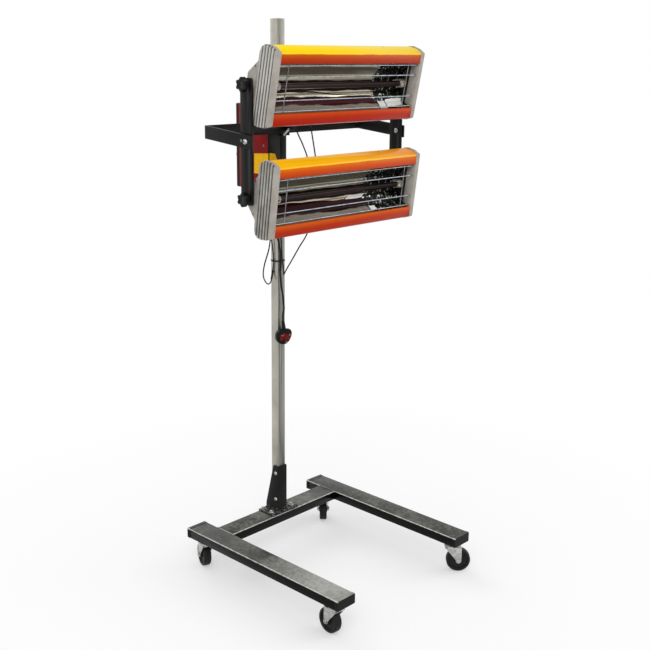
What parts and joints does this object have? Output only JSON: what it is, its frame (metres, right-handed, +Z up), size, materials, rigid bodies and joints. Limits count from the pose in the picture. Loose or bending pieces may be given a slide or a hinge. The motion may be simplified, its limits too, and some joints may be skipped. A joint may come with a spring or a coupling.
{
  "type": "infrared paint curing lamp",
  "caption": "Mobile infrared paint curing lamp: tilting reflector cassettes on a yoke that slides on a square mast, with a U-shaped base on swivel casters.",
  "frame": {"origin": "middle of the base's bounding box on the floor", "axes": "+Z up along the mast, -Y the way the lamps face, +X along the cross member to the right seen from behind the lamps"},
  "size_m": [0.6508, 0.6675, 1.638],
  "materials": {
    "base_paint": "satin charcoal powder coat",
    "black_paint": "satin black powder coat",
    "mast_chrome": "bright plated square tube",
    "zinc_plate": "bright zinc plate",
    "tyre": "moulded black wheel",
    "rail_paint": "glossy orange and yellow paint",
    "cast_grey": "grey painted casting",
    "back_sheet": "plain mill-finish sheet",
    "reflector": "polished reflector sheet",
    "lamp": "dark ruby quartz tube with ceramic bases",
    "guard_wire": "bright plated wire",
    "red_box": "satin red powder coat",
    "black_plastic": "moulded",
    "cord": "round black cord"
  },
  "bodies": {
    "stand": {"leg_left": "base_paint", "leg_right": "base_paint", "cross_member": "base_paint", "caster_plate_front_left": "zinc_plate", "caster_plate_front_right": "zinc_plate", "caster_plate_rear_left": "zinc_plate", "caster_plate_rear_right": "zinc_plate", "mast_foot": "black_paint", "mast": "mast_chrome", "mast_plug": "black_plastic"},
    "fork_front_left": {"caster_fork_front_left": "zinc_plate"},
    "wheel_front_left": {"caster_wheel_front_left": "tyre"},
    "fork_front_right": {"caster_fork_front_right": "zinc_plate"},
    "wheel_front_right": {"caster_wheel_front_right": "tyre"},
    "fork_rear_left": {"caster_fork_rear_left": "zinc_plate"},
    "wheel_rear_left": {"caster_wheel_rear_left": "tyre"},
    "fork_rear_right": {"caster_fork_rear_right": "zinc_plate"},
    "wheel_rear_right": {"caster_wheel_rear_right": "tyre"},
    "head": {"sleeve": "black_paint", "yoke": "black_paint", "upright_left": "black_paint", "upright_right": "black_paint", "frame_bolt_left": "zinc_plate", "frame_bolt_right": "zinc_plate", "box_shell": "red_box", "box_front_plate": "black_paint", "box_back_panel": "black_plastic", "box_gland_strip": "black_plastic", "mains_cord": "cord", "plug": "black_plastic", "cable_tie": "black_plastic", "lead_upper": "cord", "lead_second": "cord", "lead_lower": "cord"},
    "clamp": {"clamp_screw": "black_paint", "clamp_tee_bar": "zinc_plate"},
    "cassette_upper": {"top_rail_upper": "rail_paint", "bottom_rail_upper": "rail_paint", "end_cap_left_upper": "cast_grey", "end_cap_right_upper": "cast_grey", "back_cover_upper": "back_sheet", "reflector_upper": "reflector", "lamp_tube_upper": "lamp", "guard_upper": "guard_wire"},
    "knob_upper_left": {"tilt_knob_upper_left": "black_plastic"},
    "knob_upper_right": {"tilt_knob_upper_right": "black_plastic"},
    "cassette_lower": {"top_rail_lower": "rail_paint", "bottom_rail_lower": "rail_paint", "end_cap_left_lower": "cast_grey", "end_cap_right_lower": "cast_grey", "back_cover_lower": "back_sheet", "reflector_lower": "reflector", "lamp_tube_lower": "lamp", "guard_lower": "guard_wire"},
    "knob_lower_left": {"tilt_knob_lower_left": "black_plastic"},
    "knob_lower_right": {"tilt_knob_lower_right": "black_plastic"},
    "rocker_upper": {"rocker_upper": "black_plastic"},
    "rocker_lower": {"rocker_lower": "black_plastic"},
    "timer": {"timer_knob": "black_plastic"}
  },
  "joints": [
    {"name": "caster_swivel_front_left", "type": "hinge", "parent": "stand", "child": "fork_front_left", "pos_m": [-0.26, -0.2775, 0.09], "axis": [0, 0, 1], "continuous": true},
    {"name": "wheel_spin_front_left", "type": "hinge", "parent": "fork_front_left", "child": "wheel_front_left", "pos_m": [-0.2577, -0.25562, 0.03704], "axis": [-0.9945, 0.1045, 0], "continuous": true},
    {"name": "caster_swivel_front_right", "type": "hinge", "parent": "stand", "child": "fork_front_right", "pos_m": [0.26, -0.2775, 0.09], "axis": [0, 0, 1], "continuous": true},
    {"name": "wheel_spin_front_right", "type": "hinge", "parent": "fork_front_right", "child": "wheel_front_right", "pos_m": [0.27528, -0.29333, 0.03704], "axis": [0.7193, 0.6947, 0], "continuous": true},
    {"name": "caster_swivel_rear_left", "type": "hinge", "parent": "stand", "child": "fork_rear_left", "pos_m": [-0.26, 0.269, 0.09], "axis": [0, 0, 1], "continuous": true},
    {"name": "wheel_spin_rear_left", "type": "hinge", "parent": "fork_rear_left", "child": "wheel_rear_left", "pos_m": [-0.25176, 0.2894, 0.03704], "axis": [-0.9272, 0.3746, 0], "continuous": true},
    {"name": "caster_swivel_rear_right", "type": "hinge", "parent": "stand", "child": "fork_rear_right", "pos_m": [0.26, 0.269, 0.09], "axis": [0, 0, 1], "continuous": true},
    {"name": "wheel_spin_rear_right", "type": "hinge", "parent": "fork_rear_right", "child": "wheel_rear_right", "pos_m": [0.24417, 0.25372, 0.03704], "axis": [0.6947, -0.7193, 0], "continuous": true},
    {"name": "head_slide", "type": "slide", "parent": "stand", "child": "head", "axis": [0, 0, 1], "range_m": [-0.38, 0.25]},
    {"name": "clamp_turn", "type": "hinge", "parent": "head", "child": "clamp", "pos_m": [0, 0.169, 1.337], "axis": [0, 1, 0], "range_deg": [-180, 0]},
    {"name": "tilt_upper", "type": "hinge", "parent": "head", "child": "cassette_upper", "pos_m": [0, 0.0155, 1.466], "axis": [1, 0, 0], "range_deg": [-40, 40], "deforming": ["lead_upper", "lead_second"]},
    {"name": "turn_knob_upper_left", "type": "hinge", "parent": "head", "child": "knob_upper_left", "pos_m": [-0.31, 0.0155, 1.466], "axis": [1, 0, 0], "range_deg": [-180, 180]},
    {"name": "turn_knob_upper_right", "type": "hinge", "parent": "head", "child": "knob_upper_right", "pos_m": [0.31, 0.0155, 1.466], "axis": [1, 0, 0], "range_deg": [-180, 180]},
    {"name": "tilt_lower", "type": "hinge", "parent": "head", "child": "cassette_lower", "pos_m": [0, 0.0155, 1.173], "axis": [1, 0, 0], "range_deg": [-40, 40], "deforming": ["lead_lower"]},
    {"name": "turn_knob_lower_left", "type": "hinge", "parent": "head", "child": "knob_lower_left", "pos_m": [-0.31, 0.0155, 1.173], "axis": [1, 0, 0], "range_deg": [-180, 180]},
    {"name": "turn_knob_lower_right", "type": "hinge", "parent": "head", "child": "knob_lower_right", "pos_m": [0.31, 0.0155, 1.173], "axis": [1, 0, 0], "range_deg": [-180, 180]},
    {"name": "rocker_upper_throw", "type": "hinge", "parent": "head", "child": "rocker_upper", "pos_m": [-0.0424, 0.326, 1.351], "axis": [1, 0, 0], "range_deg": [-7, 7]},
    {"name": "rocker_lower_throw", "type": "hinge", "parent": "head", "child": "rocker_lower", "pos_m": [-0.0424, 0.326, 1.316], "axis": [1, 0, 0], "range_deg": [-7, 7]},
    {"name": "timer_turn", "type": "hinge", "parent": "head", "child": "timer", "pos_m": [-0.0424, 0.326, 1.251], "axis": [0, 1, 0], "range_deg": [0, 300]}
  ]
}
